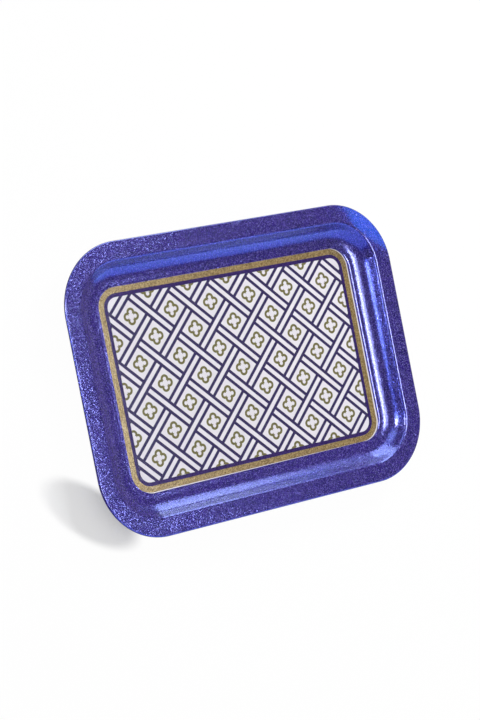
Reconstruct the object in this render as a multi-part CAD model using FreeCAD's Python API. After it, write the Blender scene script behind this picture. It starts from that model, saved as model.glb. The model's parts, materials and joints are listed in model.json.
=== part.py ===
import FreeCAD, Part
import math
import os

from FreeCAD import Vector

# A pressed tinplate serving tray with a rolled edge, lacquered and printed on its face.
# It lies on its flat underside with the face up: +X runs along the long side, +Z is up,
# and the origin is the middle of the underside.  Lengths are millimetres, angles degrees.

# --- Overall size, over the lacquer ---
TRAY_LENGTH = 380.0
TRAY_WIDTH = 278.5
TRAY_HEIGHT = 16.0
RIM_CORNER_RADIUS = 64.0

# --- Sheet and coats ---
SHEET = 0.4
LACQUER = 0.06
ENAMEL = 0.10
INK = 0.05

# --- Section through the rim, from the flat floor outwards ---
STEP_RUN = 2.0           # small pressed step that frames the flat floor
STEP_RISE = 0.3
WALL_RUN = 23.7          # edge of the flat floor to the middle of the lip bend
WALL_ANGLE = 55.0        # steepest slope of the wall
LIP_RADIUS = 4.0         # bend between the wall and the flange
FLANGE_WIDTH = 17.8      # middle of the lip bend to the outer edge
FLANGE_RISE = 2.0        # the flange lifts a little towards its edge
CURL_RADIUS = 1.45       # outside of the rolled edge, in bare metal
CURL_TURN = 305.0        # how far the sheet is rolled round

# --- Print on the flat floor ---
BORDER_LENGTH = 291.2
BORDER_WIDTH = 194.8
BORDER_CORNER_RADIUS = 20.0
BORDER_BAND = 5.8        # gold border
KEYLINE_BAND = 3.7       # blue keyline inside it

# --- Interlaced trellis of straps at 45 degrees, each strap drawn as two lines ---
TRELLIS_PITCH = 45.0     # crossing to crossing, along X and along Y
STRAP_WIDTH = 10.0       # over both of its lines
STRAP_LINE = 3.0

# --- Four-lobed rosette in each opening of the trellis ---
LOBE_RADIUS = 4.2        # also the distance of a lobe's centre from the middle
ROSETTE_LINE = 2.3

# --- Worked out from the sizes above ---
RIM_RUN = WALL_RUN + FLANGE_WIDTH
FLOOR_HALF_X = TRAY_LENGTH / 2 - RIM_RUN
FLOOR_HALF_Y = TRAY_WIDTH / 2 - RIM_RUN
FLOOR_CORNER_RADIUS = RIM_CORNER_RADIUS - RIM_RUN
FLOOR_TOP = SHEET
PANEL_INSET = BORDER_BAND + KEYLINE_BAND
STRAP_SPACING = TRELLIS_PITCH / math.sqrt(2)
UP = Vector(0, 0, 1)


def sine(angle):
    return math.sin(math.radians(angle))


def cosine(angle):
    return math.cos(math.radians(angle))


# ---------------------------------------------------------------- section of the rim

def section_moves():
    """The face line of the section as moves, each a length and a turn to the left.

    A straight move has no turn, and its size is its length.  A bend's size is its radius.
    The cove's radius and the straight stretch above it follow from the run and the rise
    that are left for them.
    """
    lip_middle = (WALL_ANGLE + FLANGE_RISE) / 2
    curl_start = RIM_RUN - LACQUER - CURL_RADIUS * (1 + sine(FLANGE_RISE))
    curl_start_height = TRAY_HEIGHT - LACQUER - CURL_RADIUS * (1 - cosine(FLANGE_RISE))
    flange_start = WALL_RUN + LIP_RADIUS * (sine(lip_middle) - sine(FLANGE_RISE))
    flange = (curl_start - flange_start) / cosine(FLANGE_RISE)
    flange_start_height = curl_start_height - flange * sine(FLANGE_RISE)

    run_left = WALL_RUN - STEP_RUN - LIP_RADIUS * (sine(WALL_ANGLE) - sine(lip_middle))
    lip_rise = LIP_RADIUS * (cosine(FLANGE_RISE) - cosine(WALL_ANGLE))
    rise_left = flange_start_height - FLOOR_TOP - STEP_RISE - lip_rise
    cove_rise_rate = 1 - cosine(WALL_ANGLE)
    scale = sine(WALL_ANGLE) ** 2 - cosine(WALL_ANGLE) * cove_rise_rate
    cove_radius = (run_left * sine(WALL_ANGLE) - rise_left * cosine(WALL_ANGLE)) / scale
    wall = (rise_left * sine(WALL_ANGLE) - run_left * cove_rise_rate) / scale

    step_turn = math.degrees(2 * math.atan(STEP_RISE / STEP_RUN))
    step_radius = STEP_RUN / 2 / sine(step_turn)
    return [
        (step_radius, step_turn),
        (step_radius, -step_turn),
        (cove_radius, WALL_ANGLE),
        (wall, 0),
        (LIP_RADIUS, FLANGE_RISE - WALL_ANGLE),
        (flange, 0),
        (CURL_RADIUS, -CURL_TURN / 2),
        (CURL_RADIUS, -CURL_TURN / 2),
    ]


def traced(moves, offset):
    """Edges along the face line, moved off it by the offset (+ is above the face)."""
    edges = []
    heading = 0.0
    place = Vector(0, 0, FLOOR_TOP + offset)
    for size, turn in moves:
        if turn == 0:
            end = place + Vector(cosine(heading), 0, sine(heading)) * size
            edges.append(Part.LineSegment(place, end).toShape())
        else:
            side = math.copysign(1, turn)
            radius = size - side * offset
            to_centre = Vector(-sine(heading), 0, cosine(heading)) * (side * radius)
            centre = place + to_centre
            points = []
            for share in (0.5, 1.0):
                angle = heading + turn * share
                points.append(centre - Vector(-sine(angle), 0, cosine(angle)) * (side * radius))
            edges.append(Part.Arc(place, points[0], points[1]).toShape())
            end = points[1]
            heading += turn
        place = end
    return edges


def section_face(lower, upper):
    """The face between two copies of the face line, at the two offsets."""
    moves = section_moves()
    below = traced(moves, lower)
    above = traced(moves, upper)
    ends = []
    for index in (0, 1):
        corner_below = below[-index].Vertexes[index].Point
        corner_above = above[-index].Vertexes[index].Point
        ends.append(Part.LineSegment(corner_below, corner_above).toShape())
    edges = Part.__sortEdges__(below + above + ends)
    return Part.Face(Part.Wire(edges))


def carried_round(face):
    """The section carried round the floor: four straight sides and four turned corners."""
    radius = FLOOR_CORNER_RADIUS
    pieces = []
    for quarter in range(4):
        out, along = FLOOR_HALF_X, FLOOR_HALF_Y
        if quarter % 2:
            out, along = along, out
        half_side = along - radius
        side = face.translated(Vector(out, -half_side, 0)).extrude(Vector(0, 2 * half_side, 0))
        corner = face.translated(Vector(radius, 0, 0)).revolve(Vector(0, 0, 0), UP, 90)
        corner.translate(Vector(out - radius, half_side, 0))
        for piece in (side, corner):
            piece.rotate(Vector(0, 0, 0), UP, 90 * quarter)
            pieces.append(piece)
    return pieces


# ---------------------------------------------------------------- flat shapes and plates

def rounded_face(half_x, half_y, radius, height):
    """A level rounded rectangle about the Z axis."""
    edges = []
    for quarter in range(4):
        out, along = (half_x, half_y) if quarter % 2 == 0 else (half_y, half_x)
        turn = FreeCAD.Rotation(UP, 90 * quarter)
        start = turn.multVec(Vector(out, radius - along, height))
        bend = turn.multVec(Vector(out, along - radius, height))
        centre = Vector(out - radius, along - radius, height)
        middle = turn.multVec(centre + Vector(radius, radius, 0) * math.sqrt(0.5))
        finish = turn.multVec(centre + Vector(0, radius, 0))
        edges.append(Part.LineSegment(start, bend).toShape())
        edges.append(Part.Arc(bend, middle, finish).toShape())
    return Part.Face(Part.Wire(edges))


def border_face(inset, height):
    """The printed border's outline, moved in by the inset."""
    half_x = BORDER_LENGTH / 2 - inset
    half_y = BORDER_WIDTH / 2 - inset
    return rounded_face(half_x, half_y, BORDER_CORNER_RADIUS - inset, height)


def border_band(inset, width):
    """A printed band of the width, lying on the metal floor."""
    outline = border_face(inset, FLOOR_TOP).cut(border_face(inset + width, FLOOR_TOP))
    return outline.extrude(UP * INK)


def floor_face(height):
    return rounded_face(FLOOR_HALF_X, FLOOR_HALF_Y, FLOOR_CORNER_RADIUS, height)


def joined(pieces):
    return pieces[0].multiFuse(pieces[1:]).removeSplitter()


# ---------------------------------------------------------------- the pieces

def tray_pan():
    """The pressed sheet: floor, wall, flange and rolled edge in one skin."""
    floor = floor_face(0).extrude(UP * SHEET)
    return joined([floor] + carried_round(section_face(-SHEET, 0)))


def blue_lacquer_coat():
    """The coat on the face, from the gold border to the inside of the rolled edge."""
    surround = floor_face(FLOOR_TOP).cut(border_face(0, FLOOR_TOP)).extrude(UP * LACQUER)
    return joined([surround] + carried_round(section_face(0, LACQUER)))


def white_enamel_panel():
    return border_face(PANEL_INSET, FLOOR_TOP).extrude(UP * ENAMEL)


def bar(centre, angle, length):
    """A flat bar of the strap's line width, at the panel's top."""
    half_length, half_width = length / 2, STRAP_LINE / 2
    corners = [(-1, -1), (1, -1), (1, 1), (-1, 1), (-1, -1)]
    points = [Vector(across * half_length, up * half_width, 0) for across, up in corners]
    shape = Part.Face(Part.makePolygon(points))
    shape.rotate(Vector(0, 0, 0), UP, angle)
    shape.translate(centre)
    return shape


def trellis_place(across, along):
    """The point at these numbers of strap spacings along the two strap directions."""
    half_pitch = TRELLIS_PITCH / 2
    height = FLOOR_TOP + ENAMEL
    return Vector((across + along) * half_pitch, (across - along) * half_pitch, height)


def strap_count():
    """How many straps each way it takes to reach the panel's corners."""
    panel_reach = (BORDER_LENGTH + BORDER_WIDTH) / 2 / math.sqrt(2)
    return math.ceil(panel_reach / STRAP_SPACING) + 1


def blue_trellis_print():
    """Two families of straps that pass over and under each other in turn.

    At each crossing the strap on top is drawn as its two lines, which run on until they
    meet the straps that hide them at the next crossings.
    """
    length = 2 * STRAP_SPACING - STRAP_WIDTH + STRAP_LINE
    line_offset = (STRAP_WIDTH - STRAP_LINE) / 2
    reach = strap_count()
    panel = border_face(PANEL_INSET, FLOOR_TOP + ENAMEL)
    limits = panel.BoundBox
    bars = []
    for row in range(-reach, reach):
        for column in range(-reach, reach):
            angle = 45 if (row + column) % 2 == 0 else -45
            middle = trellis_place(row + 0.5, column + 0.5)
            aside = Vector(-sine(angle), cosine(angle), 0) * line_offset
            for centre in (middle - aside, middle + aside):
                shape = bar(centre, angle, length)
                if shape.BoundBox.intersect(limits):
                    bars.append(shape)
    return joined(bars).common(panel).extrude(UP * INK)


def rosette(centre):
    """A four-lobed ring: four discs about the centre, less a smaller set of the same."""
    cusp = (LOBE_RADIUS * math.sqrt(2) - ROSETTE_LINE) / math.sqrt(2)
    sets = []
    for radius, half_side in ((LOBE_RADIUS, LOBE_RADIUS), (LOBE_RADIUS - ROSETTE_LINE, cusp)):
        corner = centre - Vector(half_side, half_side, 0)
        discs = [Part.makePlane(2 * half_side, 2 * half_side, corner)]
        for quarter in range(4):
            lobe = Vector(LOBE_RADIUS * cosine(90 * quarter), LOBE_RADIUS * sine(90 * quarter), 0)
            discs.append(Part.Face(Part.Wire(Part.makeCircle(radius, centre + lobe))))
        sets.append(joined(discs))
    return sets[0].cut(sets[1])


def gold_rosette_print():
    """A rosette in the middle of each opening of the trellis, cut off by the keyline."""
    reach = strap_count()
    panel = border_face(PANEL_INSET, FLOOR_TOP + ENAMEL)
    shapes = []
    for row in range(-reach, reach + 1):
        for column in range(-reach, reach + 1):
            centre = trellis_place(row, column)
            if panel.distToShape(Part.Vertex(centre))[0] < LOBE_RADIUS:
                shapes.append(rosette(centre).common(panel).extrude(UP * INK))
    return Part.makeCompound(shapes)


PIECES = {
    "tray_pan": tray_pan,
    "blue_lacquer_coat": blue_lacquer_coat,
    "gold_border_band": lambda: border_band(0, BORDER_BAND),
    "blue_keyline_band": lambda: border_band(BORDER_BAND, KEYLINE_BAND),
    "white_enamel_panel": white_enamel_panel,
    "blue_trellis_print": blue_trellis_print,
    "gold_rosette_print": gold_rosette_print,
}

os.makedirs("parts", exist_ok=True)
for name, make in PIECES.items():
    shape = make()
    box = shape.optimalBoundingBox(False)
    size = f"{box.XLength:.2f} x {box.YLength:.2f} x {box.ZLength:.2f}"
    print(f"{name}: {len(shape.Solids)} solids, valid {shape.isValid()}, "
          f"{shape.Volume:.0f} mm3, {size} mm, from z {box.ZMin:.2f}")
    shape.exportStep(f"parts/{name}.step")
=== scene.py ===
import json
import math

import bmesh
import bpy
import numpy as np
from bpy.props import FloatProperty, FloatVectorProperty, PointerProperty
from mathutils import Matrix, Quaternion, Vector

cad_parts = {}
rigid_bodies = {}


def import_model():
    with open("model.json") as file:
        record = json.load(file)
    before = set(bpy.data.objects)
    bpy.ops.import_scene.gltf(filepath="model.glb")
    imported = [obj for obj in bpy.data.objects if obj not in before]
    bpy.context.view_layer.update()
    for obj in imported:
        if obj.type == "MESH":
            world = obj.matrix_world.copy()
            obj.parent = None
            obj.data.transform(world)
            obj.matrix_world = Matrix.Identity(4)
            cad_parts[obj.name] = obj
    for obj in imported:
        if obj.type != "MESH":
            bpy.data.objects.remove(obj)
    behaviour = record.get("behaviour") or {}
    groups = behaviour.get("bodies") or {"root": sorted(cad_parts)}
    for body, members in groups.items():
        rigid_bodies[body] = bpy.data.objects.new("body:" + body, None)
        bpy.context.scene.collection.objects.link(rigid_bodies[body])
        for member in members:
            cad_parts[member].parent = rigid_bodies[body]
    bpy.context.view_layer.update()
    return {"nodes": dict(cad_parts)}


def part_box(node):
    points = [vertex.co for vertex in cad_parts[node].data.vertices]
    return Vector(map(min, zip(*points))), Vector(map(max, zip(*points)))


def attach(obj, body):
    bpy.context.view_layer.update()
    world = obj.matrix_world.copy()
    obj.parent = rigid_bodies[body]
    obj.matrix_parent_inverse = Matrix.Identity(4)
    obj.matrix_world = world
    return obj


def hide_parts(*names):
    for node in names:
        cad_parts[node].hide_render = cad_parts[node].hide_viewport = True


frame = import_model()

# The finished look of a pressed tin serving tray: the sheet and its lacquer as swept shells, the
# printed panel's finishes, and a pale studio.  Lengths are metres and angles radians, in the frame
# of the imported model: the tray lies on z = 0 with its face up and its long side along X.

bl_info = {
    "name": "Pressed Tin Serving Tray",
    "version": (1, 0, 0),
    "blender": (4, 5, 0),
    "location": "View3D > Sidebar > Tray",
    "description": "Builds a lacquered tin tray with a printed panel, in a pale studio",
    "category": "Add Mesh",
}

FACE_LOW, FACE_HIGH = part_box("blue_lacquer_coat")
BORDER_LOW, BORDER_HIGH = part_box("gold_border_band")
ROOT = "root"
OVERHEAD_HEIGHT = 1.6


# ------------------------------------------------------------------ settings

def length(name, description, default):
    return FloatProperty(name=name, description=description, default=default,
                         unit="LENGTH", precision=5)


def turn(name, description, degrees):
    return FloatProperty(name=name, description=description, default=math.radians(degrees),
                         subtype="ANGLE", unit="ROTATION")


def share(name, description, default):
    return FloatProperty(name=name, description=description, default=default, min=0.0, max=1.0,
                         subtype="FACTOR")


def colour(name, description, default):
    return FloatVectorProperty(name=name, description=description, default=default, size=3,
                               min=0.0, max=1.0, subtype="COLOR")


def amount(name, description, default):
    return FloatProperty(name=name, description=description, default=default, min=0.0)


def place(name, description, default):
    return FloatVectorProperty(name=name, description=description, default=default, size=3,
                               subtype="XYZ", unit="LENGTH")


class TraySizes(bpy.types.PropertyGroup):
    """The pressing's sizes, over the lacquer"""

    tray_length: length("Length", "Long side, edge to edge", FACE_HIGH.x - FACE_LOW.x)
    tray_width: length("Width", "Short side, edge to edge", FACE_HIGH.y - FACE_LOW.y)
    tray_height: length("Height", "Underside to the top of the rolled edge", FACE_HIGH.z)
    rim_corner_radius: length("Corner radius", "Outer corner of the rim", 0.064)
    sheet: length("Sheet", "Thickness of the tinplate", BORDER_LOW.z)
    lacquer: length("Lacquer", "Thickness of the lacquer", 0.00006)
    step_run: length("Step run", "Width of the small step round the floor", 0.002)
    step_rise: length("Step rise", "Height of that step", 0.0003)
    wall_run: length("Wall run", "Edge of the floor to the middle of the lip bend", 0.0237)
    wall_angle: turn("Wall angle", "Steepest slope of the wall", 55.0)
    lip_radius: length("Lip radius", "Bend between wall and flange", 0.004)
    flange_width: length("Flange width", "Middle of the lip bend to the outer edge", 0.0178)
    flange_rise: turn("Flange rise", "Upward slope of the flange", 2.0)
    curl_radius: length("Curl radius", "Outside of the rolled edge, in bare metal", 0.00145)
    curl_turn: turn("Curl turn", "How far the sheet is rolled round", 305.0)
    border_corner_radius: length("Border corner", "Outer corner of the gold border", 0.020)
    ground_slip: place("Ground slip", "How far the white ground lies off the border",
                       (0.0014, -0.0005, 0.0))
    ground_skew: turn("Ground skew", "How far the white ground is turned against the border", 0.2)


class TrayFinish(bpy.types.PropertyGroup):
    """Colours and grain of the coats"""

    lacquer_deep: colour("Lacquer, deep", "Lacquer over the darker flakes", (0.002, 0.000, 0.044))
    lacquer_bright: colour("Lacquer, bright", "Lacquer over the brighter flakes",
                           (0.022, 0.003, 0.180))
    # Pale flakes: partly the flakes' own paler tone, partly painted glints in the base colour.
    lacquer_pale_and_glint: colour("Lacquer, pale", "The palest flakes, seen through little lacquer",
                         (0.155, 0.120, 0.470))
    lacquer_glint: colour("Lacquer glint", "Tint of the light that the flakes throw back",
                          (0.33, 0.34, 0.96))
    keyline_deep: colour("Keyline, deep", "Darker grains of the keyline", (0.014, 0.004, 0.060))
    keyline_bright: colour("Keyline, bright", "Brighter grains of the keyline",
                           (0.045, 0.022, 0.160))
    gold_deep: colour("Gold, deep", "Darker grains of the gold ink", (0.100, 0.055, 0.012))
    gold_bright: colour("Gold, bright", "Brighter grains of the gold ink", (0.400, 0.285, 0.115))
    print_blue: colour("Print blue", "Blue ink over the enamel", (0.036, 0.025, 0.098))
    print_gold: colour("Print gold", "Gold ink over the enamel", (0.165, 0.145, 0.055))
    enamel: colour("Enamel", "White ground of the panel", (0.835, 0.800, 0.860))
    tin: colour("Tin", "Bare tinplate of the underside", (0.640, 0.640, 0.650))
    flake_size: length("Flake size", "Width of a glitter flake", 0.00085)
    flake_tilt: amount("Flake tilt", "Sideways lean of the steepest flakes", 0.3)
    wall_calm: share("Wall calm", "Lean of the wall's steep flakes against the flange's", 0.6)


class TrayStudio(bpy.types.PropertyGroup):
    """Camera and lights"""

    camera_place: place("Camera", "Where the camera stands", (-1.1738, 0.0405, 1.7460))
    camera_aim: place("Aim", "The point it looks at", (-0.0016, 0.0069, 0.0))
    camera_roll: turn("Roll", "Turn about the line of sight", 80.2)
    camera_lens: FloatProperty(name="Lens", description="Focal length in millimetres",
                               default=109.2, min=1.0)
    room_light: amount("Room light", "Soft light from all round", 0.69)
    floor_half: length("Floor half", "Half the floor's side", 12.0)
    floor_drop: length("Floor drop", "How far the floor lies under the tray", 0.0002)
    floor_white: colour("Floor", "Colour of the floor", (0.92, 0.92, 0.93))
    floor_lift: amount("Floor lift", "White light that brings the lit floor up to white", 0.04)
    floor_glow: share("Floor glow", "Share of the floor's look that is plain white light", 0.97)
    shade_glow: share("Shade glow", "The same share where the shadow is kept", 0.12)
    shade_place: place("Shade place", "Middle of the kept shadow", (-0.196, -0.103, 0.0))
    shade_reach: place("Shade reach", "Half its length, half its width", (0.053, 0.0225, 1.0))
    shade_turn: turn("Shade turn", "From its long axis to the tray's", 39.0)


# ------------------------------------------------------------------ surfaces

def outline(half_x, half_y, radius, corner_steps=32, side_steps=8):
    """A rounded rectangle's points and outward normals, anticlockwise from the right side.

    Each quarter is a straight run of side_steps points at a constant normal, then an arc of
    corner_steps points in which the normal turns evenly through a quarter turn.
    """
    along = np.linspace(-1.0, 1.0, side_steps, endpoint=False)
    bend = np.linspace(0.0, math.pi / 2, corner_steps, endpoint=False)
    points, normals = [], []
    for quarter in range(4):
        out, run = (half_x, half_y) if quarter % 2 == 0 else (half_y, half_x)
        side = np.stack([np.full(side_steps, out), along * (run - radius)], 1)
        arc = np.stack([out - radius + radius * np.cos(bend),
                        run - radius + radius * np.sin(bend)], 1)
        side_normal = np.tile([1.0, 0.0], (side_steps, 1))
        arc_normal = np.stack([np.cos(bend), np.sin(bend)], 1)
        angle = quarter * math.pi / 2
        turned = np.array([[math.cos(angle), math.sin(angle)],
                           [-math.sin(angle), math.cos(angle)]])
        points.append(np.concatenate([side, arc]) @ turned)
        normals.append(np.concatenate([side_normal, arc_normal]) @ turned)
    return np.concatenate(points), np.concatenate(normals)


def section_moves(sizes):
    """The face line from the floor's edge to the end of the curl, as (size, turn) moves.

    A move with no turn is straight and its size is its length; a bend's size is its radius.  The
    cove's radius and the straight stretch above it solve two equations: together with the step
    and the lip bend they make up the wall's run and its rise.
    """
    top, rise = sizes.wall_angle, sizes.flange_rise
    middle = (top + rise) / 2
    rim_run = sizes.wall_run + sizes.flange_width
    curl_start = rim_run - sizes.lacquer - sizes.curl_radius * (1 + math.sin(rise))
    curl_height = sizes.tray_height - sizes.lacquer - sizes.curl_radius * (1 - math.cos(rise))
    flange_start = sizes.wall_run + sizes.lip_radius * (math.sin(middle) - math.sin(rise))
    flange = (curl_start - flange_start) / math.cos(rise)
    flange_height = curl_height - flange * math.sin(rise)

    lip_run = sizes.lip_radius * (math.sin(top) - math.sin(middle))
    lip_rise = sizes.lip_radius * (math.cos(rise) - math.cos(top))
    totals = [sizes.wall_run - sizes.step_run - lip_run,
              flange_height - sizes.sheet - sizes.step_rise - lip_rise]
    rates = [[math.sin(top), math.cos(top)], [1 - math.cos(top), math.sin(top)]]
    cove_radius, wall = np.linalg.solve(rates, totals)

    step_turn = 2 * math.atan(sizes.step_rise / sizes.step_run)
    step_radius = sizes.step_run / 2 / math.sin(step_turn)
    return [
        (step_radius, step_turn),
        (step_radius, -step_turn),
        (cove_radius, top),
        (wall, 0.0),
        (sizes.lip_radius, rise - top),
        (flange, 0.0),
        (sizes.curl_radius, -sizes.curl_turn),
    ]


def section_line(sizes, offset, bend_step=math.radians(4.0)):
    """Run and height along the face line, moved off it by the offset (+ is above the face).

    Within a bend the heading turns evenly, and the point is the bend's centre plus its radius
    times the heading turned back by a right angle; a straight move adds its length.
    """
    run, height, heading = 0.0, sizes.sheet + offset, 0.0
    rows = [np.array([[run, height]])]
    for size, bend in section_moves(sizes):
        if bend == 0.0:
            steps = np.linspace(0.0, size, 5)[1:, None]
            rows.append([run, height] + steps * [math.cos(heading), math.sin(heading)])
        else:
            radius = math.copysign(1.0, bend) * size - offset
            count = max(4, math.ceil(abs(bend) / bend_step))
            angle = heading + bend * np.linspace(0.0, 1.0, count + 1)[1:]
            across = math.sin(heading), math.cos(heading)
            rows.append(np.stack([run + radius * (np.sin(angle) - across[0]),
                                  height - radius * (np.cos(angle) - across[1])], 1))
            heading += bend
        run, height = rows[-1][-1]
    return np.concatenate(rows)


def shell(name, rows, closed):
    """A mesh from rows of points, each row a closed loop; closed joins the last row to the first.

    Every four neighbours on the grid make a face.  Rows that have shrunk to a point are merged.
    """
    points = np.stack(rows)
    count, around = points.shape[:2]
    index = np.arange(count * around).reshape(count, around)
    if closed:
        index = np.concatenate([index, index[:1]])
    low, high = index[:-1], index[1:]
    faces = np.stack([low, np.roll(low, -1, 1), np.roll(high, -1, 1), high], -1).reshape(-1, 4)
    mesh = bpy.data.meshes.new(name)
    mesh.from_pydata(points.reshape(-1, 3).tolist(), [], faces.tolist())
    work = bmesh.new()
    work.from_mesh(mesh)
    bmesh.ops.remove_doubles(work, verts=work.verts, dist=1e-6)
    bmesh.ops.recalc_face_normals(work, faces=work.faces)
    work.to_mesh(mesh)
    work.free()
    obj = bpy.data.objects.new(name, mesh)
    bpy.context.scene.collection.objects.link(obj)
    mesh.shade_smooth()
    mesh.set_sharp_from_angle(angle=math.radians(35))
    return obj


def rim_loops(sizes, offset):
    """Loops of the section line at the offset, carried round the edge of the flat floor."""
    rim_run = sizes.wall_run + sizes.flange_width
    edge, normals = outline(sizes.tray_length / 2 - rim_run, sizes.tray_width / 2 - rim_run,
                            sizes.rim_corner_radius - rim_run)
    line = section_line(sizes, offset)
    flat = edge[None] + line[:, 0, None, None] * normals[None]
    height = np.broadcast_to(line[:, 1, None, None], flat.shape[:2] + (1,))
    return list(np.concatenate([flat, height], 2))


def at_height(flat, height):
    """Flat points lifted to the height, which is one number or one for each point."""
    return np.concatenate([flat, np.broadcast_to(height, len(flat))[:, None]], 1)


def border_edge(sizes):
    return outline(BORDER_HIGH.x, BORDER_HIGH.y, sizes.border_corner_radius)


def face_height(sizes, flat):
    """Height of the lacquered face at flat points.

    The run of a point is its distance outside the rounded rectangle of the floor's edge: how far
    it lies past the corner's centre, less the corner's radius.  The section line gives the height.
    """
    rim_run = sizes.wall_run + sizes.flange_width
    radius = sizes.rim_corner_radius - rim_run
    corner = np.array([sizes.tray_length / 2, sizes.tray_width / 2]) - rim_run - radius
    run = np.linalg.norm(np.maximum(abs(flat) - corner, 0.0), axis=1) - radius
    line = section_line(sizes, sizes.lacquer)
    line = line[:np.argmax(line[:, 0]) + 1]
    return np.interp(run, line[:, 0], line[:, 1])


def ground_rows(sizes, steps=6):
    """Rows of the white ground's strip, from under the border's edge out over the face.

    The ground is the border's shape moved by the slip and turned by the skew, so it shows by the
    part of that move along the outward normal.  Where that is negative the strip shrinks to a
    thread beside the border.  It lies a hair above the face and its far edge goes down into it.
    """
    edge, normals = border_edge(sizes)
    move = np.array(sizes.ground_slip[:2])
    move = move + sizes.ground_skew * np.stack([-edge[:, 1], edge[:, 0]], 1)
    width = np.maximum((move * normals).sum(1), sizes.lacquer / 2)[:, None]
    rows = []
    for reach in np.linspace(0.0, 1.0, steps + 1):
        flat = edge + width * reach * normals
        rows.append(at_height(flat, face_height(sizes, flat) + sizes.lacquer / 4))
    sunk = [row - [0.0, 0.0, sizes.lacquer / 2] for row in (rows[-1], rows[0])]
    return rows + sunk


def shrunk(loop, scale):
    """The loop drawn in towards the tray's middle by the scale, at its own height."""
    return loop * [scale, scale, 1.0]


# ------------------------------------------------------------------ shader maths

class Value:
    """A number socket in a material; arithmetic on it adds Math nodes."""

    def __init__(self, paint, socket):
        self.paint = paint
        self.socket = socket

    def __add__(self, other):
        return self.paint.math("ADD", self, other)

    def __sub__(self, other):
        return self.paint.math("SUBTRACT", self, other)

    def __rsub__(self, other):
        return self.paint.math("SUBTRACT", other, self)

    def __mul__(self, other):
        return self.paint.math("MULTIPLY", self, other)

    def __pow__(self, other):
        return self.paint.math("POWER", self, other)

    __radd__ = __add__
    __rmul__ = __mul__

    def ramp(self, low, high, start=0.0, end=1.0):
        """Maps low..high smoothly to start..end, held at both ends."""
        settings = {"interpolation_type": "SMOOTHSTEP"}
        inputs = {"Value": self, "From Min": low, "From Max": high, "To Min": start, "To Max": end}
        return self.paint.node("ShaderNodeMapRange", settings, inputs).out("Result")


class Node:
    """A node in a material, with its outputs by name or number."""

    def __init__(self, paint, node):
        self.paint = paint
        self.node = node

    def out(self, key=0):
        return Value(self.paint, pick(self.node.outputs, key))


def pick(sockets, key):
    """A node's socket by number, identifier or name."""
    if isinstance(key, int):
        return sockets[key]
    for socket in sockets:
        if socket.identifier == key:
            return socket
    return sockets[key]


class Paint:
    """A material under construction, or a world's light where the store is the worlds."""

    def __init__(self, name, store=None):
        self.made = (bpy.data.materials if store is None else store).new(name)
        self.made.use_nodes = True
        self.tree = self.made.node_tree
        self.tree.nodes.clear()

    def node(self, kind, settings=None, inputs=None):
        """Adds a node: its settings first, then a value or a link for each named socket."""
        made = self.tree.nodes.new(kind)
        for key, value in (settings or {}).items():
            setattr(made, key, value)
        for key, value in (inputs or {}).items():
            socket = pick(made.inputs, key)
            if isinstance(value, Value):
                self.tree.links.new(value.socket, socket)
            else:
                socket.default_value = value
        return Node(self, made)

    def math(self, operation, *values):
        """A Math node of the values, in their order."""
        settings = {"operation": operation}
        return self.node("ShaderNodeMath", settings, dict(enumerate(values))).out()

    def place(self):
        """The point on the piece, in metres."""
        return self.node("ShaderNodeTexCoord").out("Object")

    def mix(self, factor, first, second):
        """From the first colour at 0 to the second at 1."""
        inputs = {"Factor_Float": factor, "A_Color": first, "B_Color": second}
        return self.node("ShaderNodeMix", {"data_type": "RGBA"}, inputs).out("Result_Color")

    def vector(self, operation, first, second=None, scale=None):
        inputs = {0: first}
        if second is not None:
            inputs[1] = second
        if scale is not None:
            inputs["Scale"] = scale
        return self.node("ShaderNodeVectorMath", {"operation": operation}, inputs).out("Vector")

    def noise(self, size, detail=2.0, roughness=0.5, where=None):
        """Soft noise whose features are about the size across."""
        inputs = {"Vector": where or self.place(), "Scale": 1.0 / size, "Detail": detail,
                  "Roughness": roughness}
        return self.node("ShaderNodeTexNoise", None, inputs).out("Fac")

    def cells(self, size):
        """A random colour for each cell of about the size."""
        inputs = {"Vector": self.place(), "Scale": 1.0 / size}
        return self.node("ShaderNodeTexVoronoi", {"feature": "F1"}, inputs).out("Color")

    def part(self, colour_value, channel):
        """One of a colour's channels, Red, Green or Blue."""
        return self.node("ShaderNodeSeparateColor", None, {"Color": colour_value}).out(channel)

    def axis(self, vector_value, name):
        """One of a vector's numbers, X, Y or Z."""
        return self.node("ShaderNodeSeparateXYZ", None, {0: vector_value}).out(name)

    def leaning(self, cell_colour, tilt):
        """The surface normal, leaned by each cell's random colour."""
        centred = self.vector("SUBTRACT", cell_colour, (0.5, 0.5, 0.5))
        lean = self.vector("SCALE", centred, scale=tilt * 2.0)
        surface = self.node("ShaderNodeNewGeometry").out("Normal")
        return self.vector("NORMALIZE", self.vector("ADD", surface, lean))

    def bump(self, height, distance):
        """The surface normal over a relief that is the distance deep."""
        inputs = {"Height": height, "Distance": distance, "Strength": 1.0}
        return self.node("ShaderNodeBump", None, inputs).out("Normal")

    def glow(self, strength, tint=(1.0, 1.0, 1.0)):
        """Light given off by the surface itself."""
        inputs = {"Color": rgba(tint), "Strength": strength}
        return self.node("ShaderNodeEmission", None, inputs).out()

    def blend(self, factor, first, second):
        """From the first surface at 0 to the second at 1; no surface is black."""
        inputs = {0: factor, 2: second}
        if first is not None:
            inputs[1] = first
        return self.node("ShaderNodeMixShader", None, inputs).out()

    def close(self, surface):
        """Ends the material with this surface."""
        self.node("ShaderNodeOutputMaterial", None, {"Surface": surface})
        return self.made

    def finish(self, inputs):
        """Ends the material with a Principled surface of these sockets."""
        return self.close(self.node("ShaderNodeBsdfPrincipled", None, inputs).out("BSDF"))


def rgba(value):
    return (*value, 1.0)


# ------------------------------------------------------------------ finishes

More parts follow.
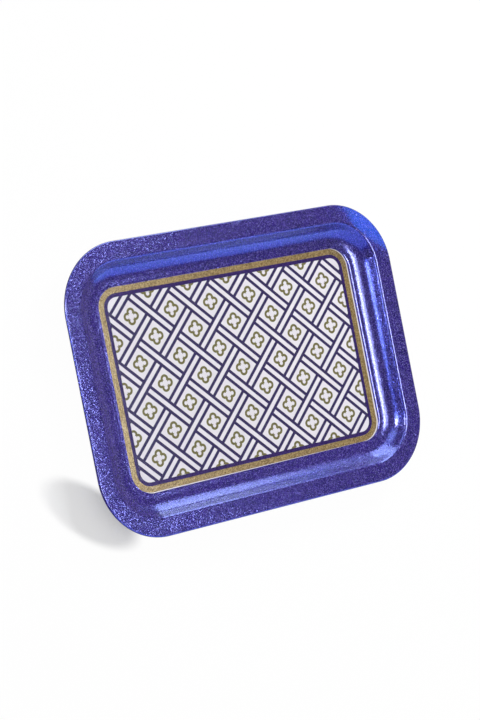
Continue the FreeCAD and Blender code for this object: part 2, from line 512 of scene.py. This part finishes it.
def glitter_lacquer(finish):
    """Purple-blue lacquer with flakes that lean each their own way and throw back azure light.

    Only a few flakes lean far.  They lean less below the rim's bend, where the sheet is drawn.
    The palest flakes are partly their own paler tone and partly painted glints: a light base
    colour that stands in for sparkle.
    """
    paint = Paint("blue_glitter_lacquer")
    coarse = paint.cells(finish.flake_size)
    fine = paint.cells(finish.flake_size * 0.55)
    tone = paint.part(coarse, "Green") * 0.55 + paint.part(fine, "Red") * 0.45
    cloud = paint.noise(0.035, detail=3.0) - 0.5
    shade = (tone + cloud * 0.3).ramp(0.28, 0.72)
    body = paint.mix(shade, rgba(finish.lacquer_deep), rgba(finish.lacquer_bright))
    # Painted glints in part: a share of the flakes gets a light base colour that stands in for
    # sparkle.
    pale = paint.part(fine, "Green").ramp(0.80, 0.86)
    base = paint.mix(pale, body, rgba(finish.lacquer_pale_and_glint))
    lean = paint.mix(0.4, coarse, fine)
    height = paint.axis(paint.place(), "Z")
    calm = height.ramp(FACE_HIGH.z - 0.0035, FACE_HIGH.z - 0.0010, finish.wall_calm, 1.0)
    steepness = paint.part(coarse, "Blue") ** 4.0 * calm
    return paint.finish({
        "Base Color": base,
        "Roughness": paint.part(fine, "Blue").ramp(0.0, 1.0, 0.11, 0.22),
        "IOR": 1.45,
        "Specular Tint": rgba(finish.lacquer_glint),
        "Normal": paint.leaning(lean, 0.045 + finish.flake_tilt * steepness),
        "Coat Weight": 0.12,
        "Coat Roughness": 0.05,
        "Coat IOR": 1.5,
    })


def grained_ink(name, deep, bright, finish, metallic, roughness, tilt):
    """Ink with metallic grains: a tone, a roughness and a lean for each grain."""
    paint = Paint(name)
    coarse = paint.cells(finish.flake_size)
    fine = paint.cells(finish.flake_size * 0.5)
    tone = paint.part(coarse, "Green") * 0.5 + paint.part(fine, "Red") * 0.5
    base = paint.mix(tone.ramp(0.15, 0.85), rgba(deep), rgba(bright))
    return paint.finish({
        "Base Color": base,
        "Metallic": metallic,
        "Roughness": paint.part(fine, "Blue").ramp(0.0, 1.0, roughness, roughness + 0.1),
        "IOR": 1.24,
        "Normal": paint.leaning(paint.mix(0.5, coarse, fine), tilt),
    })


def scaled(value, factor):
    return tuple(channel * factor for channel in value)


def print_ink(name, ink, finish):
    """Ink over the enamel, with grains a little darker and brighter than its own colour."""
    return grained_ink(name, scaled(ink, 0.8), scaled(ink, 1.25), finish,
                       metallic=0.0, roughness=0.10, tilt=0.02)


def white_enamel(finish):
    """Off-white enamel with a faint mottle, a very slight pebble and a clean gloss."""
    paint = Paint("white_enamel")
    mottle = paint.noise(0.03, detail=4.0)
    base = paint.mix(mottle, rgba(scaled(finish.enamel, 0.96)), rgba(finish.enamel))
    pebble = paint.noise(0.004, detail=1.0)
    return paint.finish({
        "Base Color": base,
        "Roughness": paint.noise(0.02).ramp(0.3, 0.7, 0.08, 0.14),
        "Normal": paint.bump(pebble, 0.00004),
        "Coat Weight": 0.1,
        "Coat Roughness": 0.06,
    })


def bright_tin(finish):
    """Rolled tinplate: fine lines along the sheet, a faint spangle and a few soft scuffs."""
    paint = Paint("tinplate")
    stretched = paint.vector("MULTIPLY", paint.place(), (0.03, 1.0, 1.0))
    lines = paint.noise(0.0006, detail=3.0, where=stretched)
    spangle = paint.part(paint.cells(0.012), "Red")
    scuffs = paint.noise(0.05, detail=5.0, roughness=0.6).ramp(0.55, 0.75)
    tone = lines * 0.5 + spangle * 0.2 + scuffs * 0.3
    base = paint.mix(tone, rgba(finish.tin), rgba(scaled(finish.tin, 0.82)))
    return paint.finish({
        "Base Color": base,
        "Metallic": 1.0,
        "Roughness": 0.22 + lines * 0.12 + scuffs * 0.15,
        "Normal": paint.bump(lines, 0.00002),
        "Coat Weight": 0.2,
        "Coat Roughness": 0.1,
    })


# ------------------------------------------------------------------ the pieces

def put_on(obj, material):
    """Gives a piece its finish and, unless the model placed it, the body that it rides on."""
    obj.data.materials.clear()
    obj.data.materials.append(material)
    if obj.parent is None:
        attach(obj, ROOT)


class TRAY_OT_pressed_sheet(bpy.types.Operator):
    """Presses the tin sheet: floor, wall, flange and rolled edge in one closed skin"""

    bl_idname = "tray.pressed_sheet"
    bl_label = "Pressed sheet"

    def execute(self, context):
        sizes = context.scene.tray_sizes
        face = rim_loops(sizes, 0.0)
        back = rim_loops(sizes, -sizes.sheet)
        floor_shares = (0.0, 0.25, 0.5, 0.75)
        rows = [shrunk(face[0], scale) for scale in floor_shares] + face
        rows += back[::-1] + [shrunk(back[0], scale) for scale in floor_shares[::-1]]
        obj = shell("pressed_sheet", rows, closed=False)
        put_on(obj, bright_tin(context.scene.tray_finish))
        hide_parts("tray_pan")
        return {"FINISHED"}


class TRAY_OT_lacquer(bpy.types.Operator):
    """Lays the glitter lacquer over the face, from the gold border into the rolled edge"""

    bl_idname = "tray.lacquer"
    bl_label = "Blue glitter lacquer"

    def execute(self, context):
        sizes = context.scene.tray_sizes
        loops = []
        for offset in (sizes.lacquer, 0.0):
            inner = at_height(border_edge(sizes)[0], sizes.sheet + offset)
            loops.append([inner] + rim_loops(sizes, offset))
        obj = shell("lacquered_face", loops[0] + loops[1][::-1], closed=True)
        put_on(obj, glitter_lacquer(context.scene.tray_finish))
        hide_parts("blue_lacquer_coat")
        return {"FINISHED"}


class TRAY_OT_ground_line(bpy.types.Operator):
    """Lays the hairline of white ground that shows between the gold border and the lacquer"""

    bl_idname = "tray.ground_line"
    bl_label = "White ground line"

    def execute(self, context):
        obj = shell("ground_line", ground_rows(context.scene.tray_sizes), closed=True)
        put_on(obj, white_enamel(context.scene.tray_finish))
        return {"FINISHED"}


class TRAY_OT_frame_bands(bpy.types.Operator):
    """Finishes the gold border and the blue keyline that frame the panel"""

    bl_idname = "tray.frame_bands"
    bl_label = "Gold border and keyline"

    def execute(self, context):
        finish = context.scene.tray_finish
        nodes = frame["nodes"]
        gold = grained_ink("gold_border_ink", finish.gold_deep, finish.gold_bright, finish,
                           metallic=0.05, roughness=0.20, tilt=0.08)
        blue = grained_ink("blue_keyline_ink", finish.keyline_deep, finish.keyline_bright, finish,
                           metallic=0.0, roughness=0.10, tilt=0.04)
        put_on(nodes["gold_border_band"], gold)
        put_on(nodes["blue_keyline_band"], blue)
        return {"FINISHED"}


class TRAY_OT_panel(bpy.types.Operator):
    """Finishes the white enamel panel and its printed trellis and rosettes"""

    bl_idname = "tray.panel"
    bl_label = "Printed panel"

    def execute(self, context):
        finish = context.scene.tray_finish
        nodes = frame["nodes"]
        blue = print_ink("blue_trellis_ink", finish.print_blue, finish)
        gold = print_ink("gold_rosette_ink", finish.print_gold, finish)
        put_on(nodes["white_enamel_panel"], white_enamel(finish))
        put_on(nodes["blue_trellis_print"], blue)
        put_on(nodes["gold_rosette_print"], gold)
        return {"FINISHED"}


# ------------------------------------------------------------------ the studio

def softbox(name, centre, target, size, radiance, tint, on_paint=False):
    """A rectangular light of even radiance, facing its target and out of the camera's sight.

    It either lights the paint or shows in gloss.  Its power is radiance times pi times area.
    """
    light = bpy.data.lights.new(name, "AREA")
    light.shape = "RECTANGLE"
    light.size, light.size_y = size
    light.energy = radiance * math.pi * size[0] * size[1]
    light.color = tint
    obj = bpy.data.objects.new(name, light)
    obj.location = centre
    obj.rotation_mode = "QUATERNION"
    obj.rotation_quaternion = (Vector(target) - Vector(centre)).to_track_quat("-Z", "Y")
    obj.visible_camera = False
    obj.visible_diffuse = on_paint
    obj.visible_glossy = not on_paint
    bpy.context.scene.collection.objects.link(obj)


def overhead(name, x, y, size, radiance, tint):
    """A softbox that hangs over the tray and faces straight down."""
    softbox(name, (x, y, OVERHEAD_HEIGHT), (x, y, 0.0), size, radiance, tint)


def gloss_card(name, corners, tint, strength, soft=0.0):
    """A flat glowing card that shows only in gloss.

    A soft card has four corners and fades towards its edges: its glow is mixed in by a rise of
    4 u (1 - u) times one of 4 v (1 - v), from nothing at 0 to full at the softness, with u and v
    running from 0 to 1 along its sides.
    """
    mesh = bpy.data.meshes.new(name)
    mesh.from_pydata(corners, [], [range(len(corners))])
    obj = bpy.data.objects.new(name, mesh)
    bpy.context.scene.collection.objects.link(obj)
    obj.visible_camera = False
    obj.visible_diffuse = False
    obj.visible_transmission = False
    obj.visible_shadow = False
    paint = Paint(name)
    surface = paint.glow(strength, tint)
    if soft > 0.0:
        sides = mesh.uv_layers.new(name="sides")
        sides.data.foreach_set("uv", [0, 0, 1, 0, 1, 1, 0, 1])
        where = paint.node("ShaderNodeUVMap", {"uv_map": "sides"}).out("UV")
        across, along = [(4.0 * side * (1.0 - side)).ramp(0.0, soft)
                         for side in (paint.axis(where, "X"), paint.axis(where, "Y"))]
        surface = paint.blend(across * along, None, surface)
    mesh.materials.append(paint.close(surface))


def upright_card(name, centre, across, height, tint, strength, soft):
    """A soft card that stands upright, with half its width given as a level vector."""
    middle, half, rise = Vector(centre), Vector((*across, 0.0)), Vector((0.0, 0.0, height / 2))
    corners = [middle - half - rise, middle + half - rise, middle + half + rise,
               middle - half + rise]
    gloss_card(name, corners, tint, strength, soft)


def floor_paper(studio):
    """Pale paper, white to the camera, that keeps the tray's shadow beside one corner.

    Where it is seen, the lit paper is mixed with plain white light.  The kept shadow is an
    ellipse in which there is less of that white; its edge is soft from 0.8 to 1.2 of its reach.
    From below the paper is clear, so that the underside can be looked at.
    """
    paint = Paint("floor_white")
    paper = paint.node("ShaderNodeBsdfDiffuse", None, {"Color": rgba(studio.floor_white)}).out()
    lift = paint.glow(studio.floor_lift)
    lit = paint.node("ShaderNodeAddShader", None, {0: paper, 1: lift}).out()
    away = paint.vector("SUBTRACT", paint.place(), tuple(studio.shade_place))
    away = paint.node("ShaderNodeVectorRotate", {"rotation_type": "Z_AXIS"},
                      {"Vector": away, "Angle": studio.shade_turn}).out()
    away = paint.vector("DIVIDE", away, tuple(studio.shade_reach))
    reach = paint.node("ShaderNodeVectorMath", {"operation": "LENGTH"}, {0: away}).out("Value")
    white_part = reach.ramp(0.8, 1.2, studio.shade_glow, studio.floor_glow)
    rays = paint.node("ShaderNodeLightPath")
    seen = rays.out("Is Camera Ray") + rays.out("Is Glossy Ray")
    seen = (seen + rays.out("Is Transmission Ray")).ramp(0.0, 1.0)
    above = paint.blend(seen, paper, paint.blend(white_part, lit, paint.glow(1.0)))
    below = paint.node("ShaderNodeNewGeometry").out("Backfacing")
    clear = paint.node("ShaderNodeBsdfTransparent").out()
    return paint.close(paint.blend(below, above, clear))


class TRAY_OT_studio(bpy.types.Operator):
    """Sets up the pale floor, the white room, the soft lights and the camera"""

    bl_idname = "tray.studio"
    bl_label = "Studio"

    def execute(self, context):
        studio = context.scene.tray_studio
        self.floor(studio)
        self.room(context.scene, studio)
        self.lights()
        self.camera(context.scene, studio)
        return {"FINISHED"}

    def floor(self, studio):
        """A square floor, a hair under the tray."""
        half, low = studio.floor_half, -studio.floor_drop
        mesh = bpy.data.meshes.new("floor")
        corners = [(-half, -half, low), (half, -half, low), (half, half, low), (-half, half, low)]
        mesh.from_pydata(corners, [], [range(4)])
        mesh.materials.append(floor_paper(studio))
        obj = bpy.data.objects.new("floor", mesh)
        bpy.context.scene.collection.objects.link(obj)

    def room(self, scene, studio):
        """A white room to the camera and in reflections, and a softer light on the paint."""
        paint = Paint("white_room", bpy.data.worlds)
        rays = paint.node("ShaderNodeLightPath")
        seen = paint.math("MAXIMUM", rays.out("Is Camera Ray"), rays.out("Is Glossy Ray"))
        level = seen.ramp(0.0, 1.0, studio.room_light, 1.0)
        inputs = {"Color": rgba((1.0, 1.0, 1.0)), "Strength": level}
        background = paint.node("ShaderNodeBackground", None, inputs).out()
        paint.node("ShaderNodeOutputWorld", None, {"Surface": background})
        scene.world = paint.made

    def lights(self):
        """A key lamp for the paint, and panels that show only as gloss in the lacquer."""
        white, mist, haze = (1.0, 1.0, 1.0), (0.90, 0.98, 1.0), (0.61, 0.77, 1.0)
        sky, azure, dusk = (0.50, 0.66, 1.0), (0.34, 0.50, 1.0), (0.24, 0.39, 1.0)
        softbox("key", (1.15, 0.95, 0.62), (0.0, 0.0, 0.0), (0.45, 0.45), 31.0, white, on_paint=True)

        overhead("overhead_core", 0.42, -0.05, (0.36, 0.50), 76.0, mist)
        overhead("overhead_side", 0.08, -0.05, (0.30, 0.60), 22.0, mist)
        overhead("overhead_end", 0.42, -0.50, (0.30, 0.40), 12.0, white)
        left, right, front, back = 0.0, 0.76, -0.55, 0.36
        high = OVERHEAD_HEIGHT + 0.1
        wide = [(left, front, high), (right, front, high), (right, back, high), (left, back, high)]
        gloss_card("overhead_wide", wide, (0.30, 0.50, 1.0), 3.4, 0.7)
        rim_corner = (0.165, -0.087, 0.007)
        softbox("corner_spot", (-0.76, 0.29, 0.71), rim_corner, (0.24, 0.24), 130.0, white)

        window = [(-0.9, 4.0, -0.3), (2.7, 4.0, -0.3), (4.0, 4.0, 4.2), (-0.9, 4.0, 4.8)]
        gloss_card("far_window", window, haze, 22.0, 0.5)
        upright_card("far_wall", (2.0, 4.1, 1.5), (2.9, 0.0), 3.0, haze, 1.4, 0.5)
        upright_card("near_card", (0.10, -0.30, 0.24), (0.55, 0.0), 0.58, dusk, 9.6, 0.7)
        upright_card("corner_glow", (-0.75, 1.40, 1.60), (0.78, 0.0), 1.9, sky, 16.0, 0.7)
        upright_card("left_card", (-1.2, 0.22, 0.95), (0.0, 0.36), 0.84, azure, 64.0, 1.0)
        patch = [(0.175, 0.109), (0.163, 0.147), (0.190, 0.170), (0.260, 0.150), (0.220, 0.078)]
        gloss_card("blue_card", [(x, y, 0.045) for x, y in patch], (0.12, 0.38, 1.0), 13.5)

    def camera(self, scene, studio):
        data = bpy.data.cameras.new("camera")
        data.lens = studio.camera_lens
        data.sensor_width = 36.0
        data.clip_end = 50.0
        obj = bpy.data.objects.new("camera", data)
        scene.collection.objects.link(obj)
        sight = Vector(studio.camera_aim) - Vector(studio.camera_place)
        obj.location = studio.camera_place
        obj.rotation_mode = "QUATERNION"
        roll = Quaternion((0.0, 0.0, 1.0), studio.camera_roll)
        obj.rotation_quaternion = sight.to_track_quat("-Z", "Y") @ roll
        scene.camera = obj
        scene.view_settings.view_transform = "Standard"


# ------------------------------------------------------------------ panel and run

STEPS = (TRAY_OT_pressed_sheet, TRAY_OT_lacquer, TRAY_OT_ground_line, TRAY_OT_frame_bands,
         TRAY_OT_panel, TRAY_OT_studio)


class TRAY_PT_sidebar(bpy.types.Panel):
    """The steps that build the tray, in order"""

    bl_idname = "TRAY_PT_sidebar"
    bl_label = "Tin serving tray"
    bl_space_type = "VIEW_3D"
    bl_region_type = "UI"
    bl_category = "Tray"

    def draw(self, context):
        for step in STEPS:
            self.layout.operator(step.bl_idname)


GROUPS = {"tray_sizes": TraySizes, "tray_finish": TrayFinish, "tray_studio": TrayStudio}


def register():
    for kind in (*GROUPS.values(), *STEPS, TRAY_PT_sidebar):
        bpy.utils.register_class(kind)
    for name, kind in GROUPS.items():
        setattr(bpy.types.Scene, name, PointerProperty(type=kind))


def unregister():
    for name in GROUPS:
        delattr(bpy.types.Scene, name)
    for kind in (TRAY_PT_sidebar, *reversed(STEPS), *reversed(GROUPS.values())):
        bpy.utils.unregister_class(kind)


def main():
    register()
    for step in STEPS:
        module, name = step.bl_idname.split(".")
        getattr(getattr(bpy.ops, module), name)()


if __name__ == "__main__":
    main()
